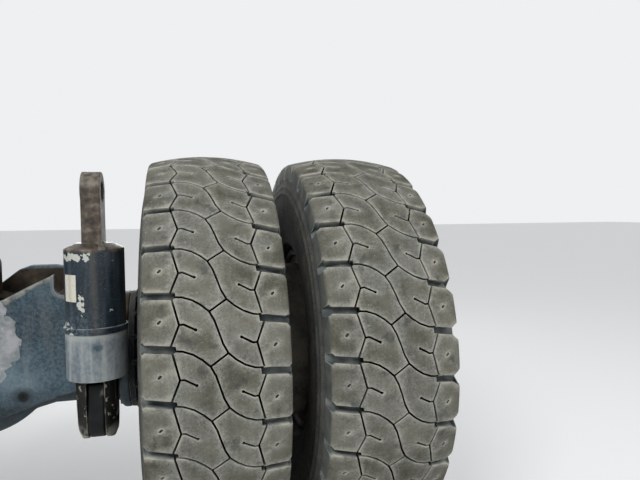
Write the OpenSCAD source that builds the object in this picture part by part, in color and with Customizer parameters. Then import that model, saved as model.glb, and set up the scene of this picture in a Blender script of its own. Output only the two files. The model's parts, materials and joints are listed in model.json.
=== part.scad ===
// Rear axle of a mining dump truck with its twin wheels and suspension cylinders, millimetres.
// X points to the truck's right, Y forward and Z up. The origin is the pivot bore at the
// nose of the A-frame, where the assembly hangs on the truck's frame.

/* [Tyres] */
// Radius of the worn tread at its centre line
tyre_r = 1064; // [1000:2:1100]
// Widest point of the sidewalls, side to side
tyre_w = 655; // [620:5:680]
// Width across the outer ends of the lugs
tread_w = 590; // [540:5:610]
// Radius of the tread's crown across the tyre
crown_r = 1108; // [900:10:1400]
// Depth of the rubber from the tread to the inside
tread_t = 95; // [70:1:120]
// Thickness of the sidewall
sidewall_t = 32; // [22:1:45]
// Height of the moulded rings on the sidewall
ring_h = 3; // [2:0.5:5]
// Number of lugs on each shoulder
lugs = 31; // [24:1:36]
// Width of the groove between two lugs
groove_w = 34; // [20:1:50]
// Depth of that groove at its inner end
groove_depth = 38; // [20:1:55]
// Distance from the centre line to the groove's inner end
groove_inner = 163; // [120:1:200]
// Slant of the grooves against the tyre's axle, in degrees
groove_slant = 6.2; // [0:0.1:12]
// Place of the first groove of the right shoulder, in lugs
lug_start = -0.033; // [-1:0.001:1]
// Offset of the left shoulder's lugs against the right, in lugs
lug_stagger = 0.465; // [0:0.001:1]
// Turn of the inner tyre's tread, in degrees
inner_turn = -63.79; // [-180:0.01:180]
// Turn of the outer tyre's tread, in degrees
outer_turn = -70.09; // [-180:0.01:180]

/* [Rims] */
// Diameter of the bead seat
bead_d = 889; // [860:1:920]
// Height of the flange above the bead seat
flange_h = 89; // [70:1:100]
// Width between the flanges
rim_w = 432; // [400:2:460]
// Thickness of the rim's base
rim_t = 19; // [12:1:26]
// Thickness of the flange
flange_t = 18; // [12:1:24]
// Thickness of the lock ring outside the bead seat band
lock_t = 22; // [16:1:24]
// Distance between the two tyres of a twin
twin_gap = 762; // [740:2:800]
// Distance from the truck's middle to the middle of a twin
twin_x = 1535; // [1520:1:1580]

/* [Hubs] */
// Outer radius of the hub's barrel
hub_r = 398; // [370:1:405]
// Thickness of the hub's wall
hub_t = 46; // [30:1:60]
// Distance from the inner tyre's middle in to the hub's inner end
hub_reach = 270; // [254:1:274]
// Length of the final drive's cover beyond the hub
cover_len = 74; // [40:1:90]
// Radius of the final drive's cover
cover_r = 312; // [280:1:320]
// Radius of the cover's bolted rim
cover_rim_r = 352; // [346:1:362]
// Number of ribs on the cover
cover_ribs = 8; // [5:1:12]
// Number of rim clamps on each hub
clamps = 12; // [8:1:16]
// Width of a rim clamp
clamp_w = 90; // [60:2:110]
// Length of a rim clamp's foot along the axle
clamp_len = 52; // [30:2:58]
// Thickness of a rim clamp's head
clamp_t = 34; // [24:1:44]

/* [Axle] */
// Distance from the A-frame's pivot back to the axle
nose_ahead = 1500; // [1450:10:1700]
// Height of the axle above the pivot
nose_below = 200; // [100:5:260]
// Radius of the ball that forms the housing's middle
banjo_r = 368; // [356:2:376]
// Distance from the middle at which the axle tubes have their own radius
banjo_half = 350; // [330:5:355]
// Distance that the rear dome stands behind the axle
dome_back = 450; // [435:5:470]
// Radius of the rear dome
dome_r = 373; // [365:1:380]
// Distance of the casting's rear wall behind the axle
wall_back = 418; // [405:1:425]
// Thickness of the casting's two upright walls
wall_t = 36; // [24:1:50]
// Height of the walls' peak beside the cylinder, above the axle
wall_peak = 470; // [440:5:480]
// Depth of the trough between the walls
trough_depth = 120; // [112:2:150]
// Depth of the walls' box below the axle beside the dome
box_low = 200; // [180:5:220]
// Distance from the cylinder's sleeve to the side of the notch behind it
notch_gap = 85; // [75:1:100]
// Depth of that notch below the walls' peak
notch_depth = 108; // [90:2:110]
// Radius of the notch's lower corner
notch_round = 50; // [30:5:70]
// Height of the cast lip round the notch
lip_h = 9; // [5:1:14]
// Radius of the axle tubes
tube_r = 262; // [230:2:280]
// Radius of the end flange
end_flange_r = 318; // [300:2:330]
// Radius of the brake housing
brake_r = 392; // [380:2:400]
// Length of the brake housing
brake_len = 136; // [124:2:150]
// Gap between the brake housing and the turning hub
brake_gap = 8; // [6:1:20]
// Radius of the spindle at the hub's inner bearing
spindle_r = 228; // [200:2:240]
// Radius of the spindle at the hub's outer bearing
spindle_tip_r = 168; // [140:2:190]

/* [A-frame] */
// Radius of the pivot bore at the nose
nose_bore_r = 60; // [40:1:70]
// Outer radius of the nose's eye
nose_r = 125; // [100:1:140]
// Width of the nose's eye
nose_w = 200; // [160:2:260]
// Distance from the middle to an arm where it meets the housing
arm_x = 430; // [426:1:440]
// Width of an arm
arm_w = 150; // [120:2:180]
// Depth of an arm
arm_h = 190; // [150:2:230]
// Thickness of an arm's upper and lower plate
plate_t = 22; // [14:1:30]
// Distance that these plates stand out past the arm's sides
plate_out = 14; // [8:1:20]

/* [Suspension cylinders] */
// Gap between the cylinder's sleeve and the inner tyre
strut_gap = 55.5; // [40:0.5:65]
// Distance of the cylinder behind the axle
strut_back = 620; // [600:5:640]
// Diameter of the cylinder's tube
strut_d = 250; // [240:2:254]
// Diameter of the sleeve round the rod
sleeve_d = 256; // [252:2:270]
// Height of the tube's top above the axle
tube_top = 600; // [560:5:640]
// Diameter of the rod's guide inside the sleeve
rod_d = 200; // [190:2:204]
// Gap between the guide and the sleeve
wiper_gap = 10; // [6:0.5:14]
// Height of the joint between tube and sleeve
sleeve_top = 250; // [200:5:300]
// Height of the sleeve's lower edge
sleeve_low = 34; // [10:2:60]
// Height of the upper eye's bore
upper_pin_z = 850; // [820:5:900]
// Radius of the upper eye's bore
upper_bore_r = 45; // [35:1:50]
// Width of the upper eye
upper_eye_w = 80; // [64:2:96]
// Height of the lower pin, below the axle where negative
lower_pin_z = -150; // [-160:5:-130]
// Radius of the lower pin
lower_pin_r = 40; // [30:1:48]
// Width of the eye between the fork's cheeks
eye_w = 70; // [60:2:76]
// Thickness of a cheek
cheek_t = 46; // [36:1:50]

/* [Lateral rod] */
// Height of the rod above the axle
rod_z = 500; // [490:5:560]
// Distance of the rod behind the axle
rod_back = 180; // [140:5:220]
// Distance between the rod's two eyes
rod_len = 640; // [560:10:700]
// Distance of the axle's bracket from the middle
rod_foot_x = 60; // [40:5:80]
// Radius of the eye's bore
rod_bore_r = 36; // [25:1:42]
// Radius of the rod
rod_body_r = 38; // [30:1:44]
// Width of the eye
rod_eye_w = 80; // [60:2:90]
// Thickness of an eye's or ear's wall round the bore
rod_wall = 32; // [24:1:40]
// Thickness of the two ears on the housing
rod_ear_t = 26; // [18:1:34]

/* [Input flange] */
// Distance of the flange's face in front of the axle
input_ahead = 690; // [640:5:740]
// Diameter of the circle of bolt holes
input_pcd = 220; // [180:2:240]
// Number of bolt holes
input_holes = 8; // [6:1:12]
// Radius of a bolt hole
input_hole_r = 9; // [6:0.5:12]

/* [Hidden] */
$fn = 96;
// Gap left between two curved faces that seat on each other
seat = 0.3;
pitch = 360 / lugs;
bead_r = bead_d / 2;
rim_flange_r = bead_r + flange_h;
tyre_xs = [twin_x - twin_gap / 2, twin_x + twin_gap / 2];
// Centre of a sidewall's arc: radius and distance from the tyre's middle
side_arc_r = 533;
side_mid_r = 770;
side_off = side_arc_r - tyre_w / 2;
// Middles of the sidewall's moulded rings, and their width
ring_rs = [side_mid_r - 200, side_mid_r + 90, side_mid_r + 126];
ring_w = 8;
// Where the thick shoulder starts on the sidewall, and how deep the outer lug's face reaches
shoulder_r = side_mid_r + 100;
lug_face = 64;
strut_x = tyre_xs[0] - tyre_w / 2 - strut_gap - sleeve_d / 2;
lip_r = 22;
rim_end = rim_w / 2 + flange_t + lip_r;
hub_out_x = tyre_xs[1] + rim_end - 30;
hub_in_x = tyre_xs[0] - hub_reach;
hub_bevel_w = 40;
hub_end_r = hub_r + 12;
cap_r = 110;
rib_t = 18;
plug_d = 46;
clamp_in_r = cover_rim_r + 4;
clamp_out_r = bead_r - rim_t - seat;
brake_out_x = hub_in_x - brake_gap;
flange_x = brake_out_x - brake_len;
drum_x = brake_out_x - 76;
brake_webs = 16;
bearing_w = 110;
outer_bearing_x = tyre_xs[1] - 90;
fork_w = eye_w + 2 * (cheek_t + seat);
lower_bore_r = lower_pin_r + seat;
tilt = atan(nose_below / nose_ahead);
nose_dist = norm([nose_ahead, nose_below]);
pad_y = 430;
nose_back = nose_r + 120;
cross_y = 900;
cross_half = arm_x * (nose_dist - nose_back - cross_y) / (nose_dist - nose_back - pad_y);
carrier_r = 340;
wall_x = strut_x - sleeve_d / 2 - notch_gap;
box_end_x = strut_x - eye_w;
ridge_x = 0.47 * wall_x;
box_r = wall_back + 22;
carrier_y = banjo_r + 12;
input_hub_len = 60;
input_y = input_ahead - input_hub_len;
boss_r = 150;
carrier_ribs = 8;
lug_r = lower_pin_r + 52;
slot_z = sleeve_low - 10;
cheek_r = lug_r + 3;
rod_eye_r = rod_bore_r + rod_wall;
rod_pin_len = rod_eye_w + 2 * rod_ear_t + 12;

// Moves a piece drawn about the axle's middle to its place behind the A-frame's pivot.
module at_axle() translate([0, -nose_ahead, nose_below]) children();

// Draws a piece of the right side there, or its mirror image on the left.
module on_side(side) at_axle() mirror([side == "left" ? 1 : 0, 0, 0]) children();

// Revolves an outline about the axle: its x is the radius and its y the distance to the right.
module about_axle() rotate([0, 90, 0]) rotate_extrude() children();

// One groove between two lugs of the right shoulder, open at the tread and at the side.
module groove() {
    floor_r = tyre_r - pow(groove_inner, 2) / (2 * crown_r) - groove_depth;
    edge = tread_w / 2;
    middle = (groove_inner + edge) / 2;
    translate([middle, 0, 0]) rotate([0, groove_slant, 0]) translate([-middle, 0, 0])
        linear_extrude(groove_w, center = true)
            polygon([[groove_inner, -tyre_r - 50], [groove_inner, -floor_r],
                     [groove_inner + 40, -floor_r + 4], [edge + 8, -floor_r + 60],
                     [edge + 60, -floor_r + 100], [edge + 60, -tyre_r - 50]]);
}

// Both sidewalls' arcs, raised by that height.
module sidewalls(raised) intersection_for(s = [-1, 1])
    translate([side_mid_r, s * side_off]) circle(side_arc_r + raised);

module tyre_outline() intersection() {
    translate([tyre_r - crown_r, 0]) circle(crown_r);
    union() {
        sidewalls(0);
        intersection() {
            sidewalls(ring_h);
            for (r = ring_rs) translate([r - ring_w / 2, -tyre_w]) square([ring_w, 2 * tyre_w]);
        }
        polygon([[shoulder_r, 12 - tyre_w / 2], [shoulder_r, tyre_w / 2 - 12],
                 [tyre_r - lug_face, tread_w / 2 + 5], [tyre_r, tread_w / 2 - 2],
                 [tyre_r, 2 - tread_w / 2], [tyre_r - lug_face, -tread_w / 2 - 5]]);
    }
}

module tyre_hollow() {
    foot = rim_w / 2 - 58;
    intersection() {
        translate([tyre_r - crown_r, 0]) circle(crown_r - tread_t);
        sidewalls(-sidewall_t);
        polygon([[0, -foot], [0, foot], [rim_flange_r - 15, foot], [rim_flange_r + 100, tyre_w / 2],
                 [tyre_r, tyre_w / 2], [tyre_r, -tyre_w / 2], [rim_flange_r + 100, -tyre_w / 2],
                 [rim_flange_r - 15, -foot]]);
    }
}

module tyre(x, turn) {
    translate([x, 0, 0]) difference() {
        about_axle() difference() {
            tyre_outline();
            tyre_hollow();
            square([2 * (bead_r + seat), tyre_w], center = true);
            for (s = [-1, 1])
                translate([0, s * (tyre_w / 2 + rim_w / 2 - seat)])
                    square([2 * (rim_flange_r + 3), tyre_w], center = true);
        }
        for (i = [0 : lugs - 1]) {
            rotate([turn + (i + lug_start) * pitch, 0, 0]) groove();
            rotate([turn + (i + lug_start + lug_stagger) * pitch, 0, 0]) rotate([0, 180, 0]) groove();
        }
    }
}

// Steel rim: the base, a flange on each side with a rolled lip, and outside the right flange the
// bead seat band's edge with the lock ring in its gutter.
module rim(x) {
    translate([x, 0, 0]) about_axle() {
        translate([bead_r - rim_t, -rim_end]) square([rim_t, 2 * rim_end]);
        translate([bead_r, rim_w / 2]) square([flange_t, flange_t + 6]);
        translate([bead_r + lock_t / 4, rim_end - lock_t / 2]) circle(d = lock_t);
        for (s = [-1, 1]) {
            translate([bead_r - rim_t, s * (rim_w + flange_t) / 2 - flange_t / 2])
                square([flange_h + rim_t - lip_r, flange_t]);
            difference() {
                translate([rim_flange_r - lip_r, s * (rim_w / 2 + flange_t)]) circle(lip_r);
                square([2 * rim_flange_r, rim_w + flange_t], center = true);
            }
        }
    }
}

// Hub: barrel, the bevel that carries the inner rim, the two bearing walls and the outer flange.
module hub() {
    seat_r = bead_r - rim_t - seat;
    about_axle() difference() {
        union() {
            translate([0, hub_in_x]) square([hub_r, hub_out_x - hub_in_x]);
            translate([0, hub_in_x]) polygon([[0, 0], [seat_r, 0], [seat_r, hub_bevel_w],
                                              [hub_r, hub_bevel_w + 30], [0, hub_bevel_w + 30]]);
            translate([0, hub_out_x - 60]) square([hub_end_r, 60]);
        }
        square([spindle_tip_r + seat, 2 * hub_out_x]);
        translate([0, hub_in_x - 1]) square([spindle_r + seat, bearing_w + 40]);
        translate([0, hub_in_x + bearing_w])
            square([hub_r - hub_t, outer_bearing_x - hub_in_x - 2 * bearing_w]);
        translate([0, outer_bearing_x]) square([hub_r - hub_t, hub_out_x]);
    }
}

// Cover of the final drive: the bolted rim, a dished face with ribs and two oil plugs, and the
// raised cap in the middle.
module final_drive_cover() {
    dish = cover_len - 24;
    about_axle() translate([0, hub_out_x]) {
        square([cover_rim_r, 26]);
        polygon([[0, 0], [cover_r, 0], [cover_r, cover_len - 24], [cover_r - 24, cover_len],
                 [cover_r - 46, cover_len], [cover_r - 64, dish], [cap_r + 36, dish],
                 [cap_r + 18, cover_len], [0, cover_len]]);
        square([cap_r, cover_len + 30]);
    }
    for (i = [0 : cover_ribs - 1]) rotate([i * 360 / cover_ribs, 0, 0])
        translate([hub_out_x, -rib_t / 2, cap_r]) cube([cover_len - 4, rib_t, cover_r - cap_r - 40]);
    for (i = [0.5, cover_ribs / 2 + 0.5]) rotate([i * 360 / cover_ribs, 0, 0])
        translate([hub_out_x, 0, (cap_r + cover_r) / 2]) rotate([0, 90, 0])
            cylinder(d = plug_d, h = dish + 14);
}

// Wedge clamps that hold the outer rim: each has a foot in the gap between hub and rim, and a
// head on the hub's face for its stud.
module rim_clamps() intersection() {
    about_axle() translate([0, hub_out_x]) {
        translate([hub_end_r + seat, -clamp_len])
            square([clamp_out_r - hub_end_r - seat, clamp_len + clamp_t / 2]);
        polygon([[clamp_in_r, seat], [clamp_out_r, seat], [clamp_out_r, 0.6 * clamp_t],
                 [clamp_out_r - 16, clamp_t], [clamp_in_r + 10, clamp_t], [clamp_in_r, 0.7 * clamp_t]]);
    }
    for (i = [0 : clamps - 1]) rotate([i * 360 / clamps, 0, 0])
        translate([hub_out_x - clamp_len, -clamp_w / 2, 0]) cube([2 * clamp_len, clamp_w, bead_r]);
}

module spacer_band() {
    about_axle() translate([bead_r - rim_t, tyre_xs[0] + rim_end + seat])
        square([rim_t, twin_gap - 2 * (rim_end + seat)]);
}

// Cast housing: the ball in the middle with its rear dome, the axle tubes, the end flanges, the
// walled box on each side and the lugs that carry the suspension cylinders.
module axle_housing() at_axle() difference() {
    union() {
        about_axle() polygon([
            [0, -flange_x], [end_flange_r, -flange_x], [end_flange_r, 40 - flange_x], [tube_r, 80 - flange_x],
            [tube_r, -banjo_half], [0.82 * banjo_r, -0.54 * banjo_half], [0.82 * banjo_r, 0.54 * banjo_half],
            [tube_r, banjo_half], [tube_r, flange_x - 80], [end_flange_r, flange_x - 40],
            [end_flange_r, flange_x], [0, flange_x]]);
        sphere(banjo_r);
        translate([0, dome_r - dome_back, 0]) sphere(dome_r);
        rotate([-90, 0, 0]) cylinder(r = carrier_r, h = carrier_y);
        for (s = [-1, 1]) {
            rotate([-tilt, 0, 0]) translate([s * arm_x - arm_w / 2, 0, -arm_h / 2])
                cube([arm_w, pad_y, arm_h]);
            translate([s * strut_x - eye_w / 2, -strut_back, lower_pin_z]) strut_lug();
            mirror([s < 0 ? 1 : 0, 0, 0]) casting_box();
            translate([rod_foot_x, s * (rod_eye_w + rod_ear_t + 2 * seat) / 2 - rod_back, 0]) rod_ear();
        }
    }
    translate([rod_foot_x, 0, rod_z]) rotate([90, 0, 0])
        cylinder(r = rod_bore_r, h = 2 * banjo_r, center = true);
}

// Box of the casting beside the dome: rounded below, with a trough between its two walls on top,
// which rise towards the suspension cylinder and end in a notch with a cast lip.
module casting_box() {
    intersection() {
        rotate([90, 0, 0]) difference() {
            linear_extrude(wall_back) difference() {
                box_outline();
                notch(0);
            }
            translate([0, 0, wall_t]) linear_extrude(wall_back - 2 * wall_t) above_ridge(trough_depth);
        }
        union() {
            rotate([0, 90, 0]) cylinder(r = box_r, h = box_end_x);
            translate([0, -wall_back, 0]) cube([box_end_x, wall_back, wall_peak]);
        }
    }
    translate([0, -wall_back, 0]) rotate([90, 0, 0]) linear_extrude(lip_h) intersection() {
        box_outline();
        difference() {
            notch(lip_h);
            notch(0);
        }
    }
}

// Outline of that box, seen from behind, without its notch.
module box_outline() difference() {
    polygon([[0, wall_peak], [box_end_x, wall_peak], [box_end_x, -0.43 * box_low], [wall_x, -0.6 * box_low],
             [ridge_x, -box_low], [0, -1.25 * box_low]]);
    above_ridge(0);
}

// All that lies above the walls' ridge, or above a line that much lower.
module above_ridge(drop) translate([0, wall_peak - drop])
    polygon([[-1, -0.3 * wall_peak], [0, -0.3 * wall_peak], [ridge_x, -0.25 * wall_peak], [wall_x, 0],
             [box_end_x + 1, 0], [box_end_x + 1, wall_peak], [-1, wall_peak]]);

// Notch at the box's upper corner that clears the suspension cylinder, grown by that much.
module notch(grown) translate([wall_x + notch_round, wall_peak - notch_depth + notch_round]) {
    circle(notch_round + grown);
    translate([-notch_round - grown, 0]) square(box_end_x);
    translate([0, -notch_round - grown]) square(box_end_x);
}

// Lug in which the lower pin of a suspension cylinder sits, grown out of the axle tube.
module strut_lug() rotate([90, 0, 90]) linear_extrude(eye_w) difference() {
    union() {
        circle(lug_r);
        polygon([[0, -lug_r], [strut_back - 0.85 * tube_r, -0.4 * tube_r - lower_pin_z],
                 [strut_back - 0.6 * tube_r, 0.6 * tube_r - lower_pin_z],
                 [1.6 * lug_r, slot_z + 40 - lower_pin_z], [1.6 * lug_r, slot_z - 12 - lower_pin_z],
                 [-0.8 * lug_r, slot_z - 12 - lower_pin_z], [-lug_r, 0]]);
    }
    circle(lower_bore_r);
}

// One of the two ears that hold the lateral rod's pin on top of the housing.
module rod_ear() rotate([90, 0, 0]) linear_extrude(rod_ear_t, center = true) {
    translate([0, rod_z]) circle(rod_eye_r);
    translate([-rod_eye_r, banjo_r / 2]) square([2 * rod_eye_r, rod_z - banjo_r / 2]);
}

// Carrier of the differential: a bolted rim, a cone with ribs and the boss of the input bearing.
module differential_carrier() at_axle() rotate([-90, 0, 0]) {
    rotate_extrude() polygon([
        [0, carrier_y], [carrier_r, carrier_y], [carrier_r, carrier_y + 35], [250, carrier_y + 55],
        [boss_r, input_y - 60], [boss_r, input_y], [0, input_y]]);
    intersection() {
        rotate_extrude() polygon([
            [boss_r - 30, carrier_y], [carrier_r - 34, carrier_y], [carrier_r - 34, carrier_y + 52],
            [boss_r + 22, input_y - 24], [boss_r - 30, input_y - 24]]);
        for (i = [0 : carrier_ribs - 1]) rotate((i + 0.5) * 360 / carrier_ribs)
            translate([0, -rib_t / 2, carrier_y]) cube([carrier_r, rib_t, input_y - carrier_y]);
    }
}

module input_flange() at_axle() rotate([-90, 0, 0]) difference() {
    rotate_extrude() polygon([
        [0, input_y], [80, input_y], [80, input_ahead - 24], [input_pcd / 2 + 26, input_ahead - 24],
        [input_pcd / 2 + 26, input_ahead], [0, input_ahead]]);
    for (i = [0 : input_holes - 1]) rotate(i * 360 / input_holes)
        translate([input_pcd / 2, 0, input_ahead - 40]) cylinder(r = input_hole_r, h = 60);
}

// Housing of the disc brake: the flange at the axle, the wider drum with its grooves and the webs
// between the two.
module brake_housing() difference() {
    union() {
        about_axle() difference() {
            polygon([[0, flange_x], [end_flange_r, flange_x], [end_flange_r, flange_x + 30],
                     [end_flange_r - 24, flange_x + 38], [brake_r - 20, drum_x], [brake_r, drum_x + 6],
                     [brake_r, brake_out_x - 14], [brake_r - 16, brake_out_x], [0, brake_out_x]]);
            for (i = [1 : 3]) translate([brake_r - 7, drum_x + i * (brake_out_x - drum_x) / 4 - 4])
                square([20, 8]);
        }
        intersection() {
            about_axle() polygon([[end_flange_r - 40, flange_x + 20], [end_flange_r - 4, flange_x + 20],
                                  [brake_r - 10, drum_x + 4], [end_flange_r - 40, drum_x + 4]]);
            for (i = [0 : brake_webs - 1]) rotate([i * 360 / brake_webs, 0, 0])
                translate([flange_x, -rib_t / 2, 0]) cube([brake_len, rib_t, brake_r]);
        }
    }
    about_axle() square([spindle_r + seat, 2 * brake_out_x]);
}

module spindle() {
    about_axle() polygon([[0, flange_x], [spindle_r, flange_x], [spindle_r, hub_in_x + bearing_w + 20],
                          [spindle_tip_r, hub_in_x + bearing_w + 160], [spindle_tip_r, outer_bearing_x - 20],
                          [0, outer_bearing_x - 20]]);
}

// Nose of the A-frame: the eye with the pivot bore and the block that both arms run into.
module a_frame_nose() rotate([-tilt, 0, 0]) rotate([90, 0, 90])
    linear_extrude(nose_w, center = true) difference() {
        union() {
            circle(nose_r);
            translate([-nose_back, -arm_h / 2]) square([nose_back, arm_h]);
        }
        circle(nose_bore_r);
    }

// Arm of the A-frame, welded from an upper and a lower plate, the web box between them and half
// of the cross plate that ties both arms below the drive shaft.
module a_frame_arm(side) at_axle() rotate([-tilt, 0, 0]) mirror([side == "left" ? 1 : 0, 0, 0]) {
    for (z = [-arm_h / 2, arm_h / 2 - plate_t]) translate([0, 0, z]) linear_extrude(plate_t) arm_outline(0);
    translate([0, 0, -arm_h / 2]) linear_extrude(arm_h) arm_outline(plate_out);
    translate([0, cross_y, 0.6 * plate_t - arm_h / 2]) cube([cross_half, plate_t, arm_h / 2 - plate_t]);
}

module arm_outline(inset) polygon([
    [arm_x - arm_w / 2 + inset, pad_y], [arm_x + arm_w / 2 - inset, pad_y],
    [arm_x + arm_w / 2 - inset, pad_y + 80], [nose_w / 2 - inset, nose_dist - nose_back],
    [0, nose_dist - nose_back], [0, nose_dist - nose_back - arm_w + 2 * inset]]);

// Suspension cylinder's tube with its upper eye.
module strut_tube() translate([strut_x, -strut_back, 0]) difference() {
    union() {
        translate([0, 0, sleeve_top]) cylinder(d = strut_d, h = tube_top - sleeve_top);
        translate([0, 0, sleeve_top + 2]) cylinder(d = sleeve_d + 6, h = 10);
        translate([0, 0, tube_top]) cylinder(d1 = strut_d, d2 = strut_d - 90, h = 24);
        translate([-upper_eye_w / 2, -75, tube_top]) cube([upper_eye_w, 150, upper_pin_z - tube_top]);
        translate([-upper_eye_w / 2, 0, upper_pin_z]) rotate([0, 90, 0])
            cylinder(r = upper_bore_r + 40, h = upper_eye_w);
    }
    translate([-upper_eye_w, 0, upper_pin_z]) rotate([0, 90, 0])
        cylinder(r = upper_bore_r, h = 2 * upper_eye_w);
}

module strut_sleeve() translate([strut_x, -strut_back, sleeve_low]) difference() {
    cylinder(d = sleeve_d, h = sleeve_top - sleeve_low);
    translate([0, 0, -1]) cylinder(d = rod_d + 2 * wiper_gap, h = sleeve_top - sleeve_low + 2);
}

// Piston rod with the fork that the lower pin holds.
module strut_fork() translate([strut_x, -strut_back, 0]) difference() {
    union() {
        translate([0, 0, slot_z]) cylinder(d = rod_d, h = sleeve_top - slot_z);
        intersection() {
            translate([-fork_w / 2, 0, 0]) rotate([90, 0, 90]) linear_extrude(fork_w) union() {
                translate([0, lower_pin_z]) circle(cheek_r);
                translate([-cheek_r, lower_pin_z]) square([2 * cheek_r, slot_z + 20 - lower_pin_z]);
            }
            fork_taper();
        }
    }
    translate([-eye_w / 2 - seat, -rod_d, lower_pin_z - 2 * cheek_r])
        cube([eye_w + 2 * seat, 2 * rod_d, slot_z - lower_pin_z + 2 * cheek_r]);
    translate([-fork_w / 2, 0, lower_pin_z]) rotate([0, 90, 0]) cylinder(r = lower_bore_r, h = fork_w);
}

// Outside of the forging round the fork, which narrows towards its tip like a barrel.
module fork_taper() rotate_extrude() translate([0, lower_pin_z])
    polygon([[0, -cheek_r], [0.72 * cheek_r, -cheek_r], [0.88 * cheek_r, -0.6 * cheek_r], [cheek_r, 0],
             [1.06 * cheek_r, 0.7 * cheek_r], [1.06 * cheek_r, slot_z - lower_pin_z],
             [rod_d / 2, slot_z + 20 - lower_pin_z], [0, slot_z + 20 - lower_pin_z]]);

module lower_pin() translate([strut_x - fork_w / 2, -strut_back, lower_pin_z]) rotate([0, 90, 0])
    cylinder(r = lower_pin_r, h = fork_w);

module lateral_rod() at_axle() translate([rod_foot_x, -rod_back, rod_z]) difference() {
    union() {
        for (x = [0, -rod_len]) translate([x, rod_eye_w / 2, 0]) rotate([90, 0, 0])
            cylinder(r = rod_eye_r, h = rod_eye_w);
        translate([-rod_len, 0, 0]) rotate([0, 90, 0]) cylinder(r = rod_body_r, h = rod_len);
    }
    for (x = [0, -rod_len]) translate([x, rod_eye_w, 0]) rotate([90, 0, 0])
        cylinder(r = rod_bore_r, h = 2 * rod_eye_w);
}

module lateral_rod_pin() at_axle() translate([rod_foot_x, rod_pin_len / 2 - rod_back, rod_z])
    rotate([90, 0, 0]) cylinder(r = rod_bore_r - seat, h = rod_pin_len);

color("slategray") axle_housing();
color("slategray") differential_carrier();
color("dimgray") input_flange();
color("slategray") on_side("right") brake_housing();  // right_brake_housing
color("slategray") on_side("left") brake_housing();  // left_brake_housing
color("silver") on_side("right") spindle();  // right_spindle
color("silver") on_side("left") spindle();  // left_spindle
color("dimgray") a_frame_nose();
color("dimgray") a_frame_arm("right");  // right_a_frame_arm
color("dimgray") a_frame_arm("left");  // left_a_frame_arm
color("dimgray") lateral_rod();
color("silver") lateral_rod_pin();
color("midnightblue") on_side("right") strut_tube();  // right_strut_tube
color("midnightblue") on_side("left") strut_tube();  // left_strut_tube
color("lightgray") on_side("right") strut_sleeve();  // right_strut_sleeve
color("lightgray") on_side("left") strut_sleeve();  // left_strut_sleeve
color("dimgray") on_side("right") strut_fork();  // right_strut_fork
color("dimgray") on_side("left") strut_fork();  // left_strut_fork
color("silver") on_side("right") lower_pin();  // right_lower_pin
color("silver") on_side("left") lower_pin();  // left_lower_pin
color("gray") on_side("right") hub();  // right_hub
color("gray") on_side("left") hub();  // left_hub
color("gray") on_side("right") final_drive_cover();  // right_final_drive_cover
color("gray") on_side("left") final_drive_cover();  // left_final_drive_cover
color("gray") on_side("right") rim(tyre_xs[0]);  // right_inner_rim
color("gray") on_side("left") rim(tyre_xs[0]);  // left_inner_rim
color("gray") on_side("right") rim(tyre_xs[1]);  // right_outer_rim
color("gray") on_side("left") rim(tyre_xs[1]);  // left_outer_rim
color("gray") on_side("right") spacer_band();  // right_spacer_band
color("gray") on_side("left") spacer_band();  // left_spacer_band
color("gray") on_side("right") rim_clamps();  // right_rim_clamps
color("gray") on_side("left") rim_clamps();  // left_rim_clamps
color("dimgray") at_axle() tyre(tyre_xs[0], inner_turn);  // right_inner_tyre
color("dimgray") at_axle() tyre(-tyre_xs[0], inner_turn);  // left_inner_tyre
color("dimgray") at_axle() tyre(tyre_xs[1], outer_turn);  // right_outer_tyre
color("dimgray") at_axle() tyre(-tyre_xs[1], outer_turn);  // left_outer_tyre
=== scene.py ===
import json
from math import cos, pi, radians, sin, sqrt, tau

import bmesh
import bpy
from mathutils import Matrix, Vector, kdtree


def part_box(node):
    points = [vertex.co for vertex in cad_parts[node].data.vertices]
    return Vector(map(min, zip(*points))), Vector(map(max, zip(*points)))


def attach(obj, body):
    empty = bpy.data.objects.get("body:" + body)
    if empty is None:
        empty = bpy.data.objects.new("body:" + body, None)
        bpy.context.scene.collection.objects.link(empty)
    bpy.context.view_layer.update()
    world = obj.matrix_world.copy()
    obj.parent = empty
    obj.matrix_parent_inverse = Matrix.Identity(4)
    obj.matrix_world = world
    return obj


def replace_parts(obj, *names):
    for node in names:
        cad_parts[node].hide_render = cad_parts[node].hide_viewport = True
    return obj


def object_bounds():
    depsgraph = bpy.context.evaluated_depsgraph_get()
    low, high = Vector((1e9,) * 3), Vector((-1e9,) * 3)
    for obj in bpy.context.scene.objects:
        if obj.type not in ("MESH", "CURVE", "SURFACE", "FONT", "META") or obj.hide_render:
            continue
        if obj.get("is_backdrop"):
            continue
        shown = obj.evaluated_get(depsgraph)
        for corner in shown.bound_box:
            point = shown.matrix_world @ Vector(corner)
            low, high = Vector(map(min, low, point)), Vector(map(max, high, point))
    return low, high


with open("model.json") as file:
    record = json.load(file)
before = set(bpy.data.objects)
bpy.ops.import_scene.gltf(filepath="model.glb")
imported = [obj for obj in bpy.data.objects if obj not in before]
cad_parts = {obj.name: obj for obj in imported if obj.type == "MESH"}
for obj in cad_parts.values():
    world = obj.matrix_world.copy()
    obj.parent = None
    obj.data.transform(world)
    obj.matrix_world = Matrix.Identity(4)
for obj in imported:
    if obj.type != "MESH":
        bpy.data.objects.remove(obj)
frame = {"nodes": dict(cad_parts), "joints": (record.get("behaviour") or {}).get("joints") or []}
cad_low, cad_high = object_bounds()


# The floor, the soft light and the viewpoint. The camera stands behind the right inner tyre, a
# little below its top, turned to the right and slightly down, on a wide lens. The floor is a matt
# pale sheet that the four tyres stand on.
def linear(*srgb):
    """A colour given on a 0 to 255 scale, as the shader wants it."""
    return [((c / 255 + 0.055) / 1.055) ** 2.4 if c > 10 else c / 3294.6 for c in srgb] + [1]


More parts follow.
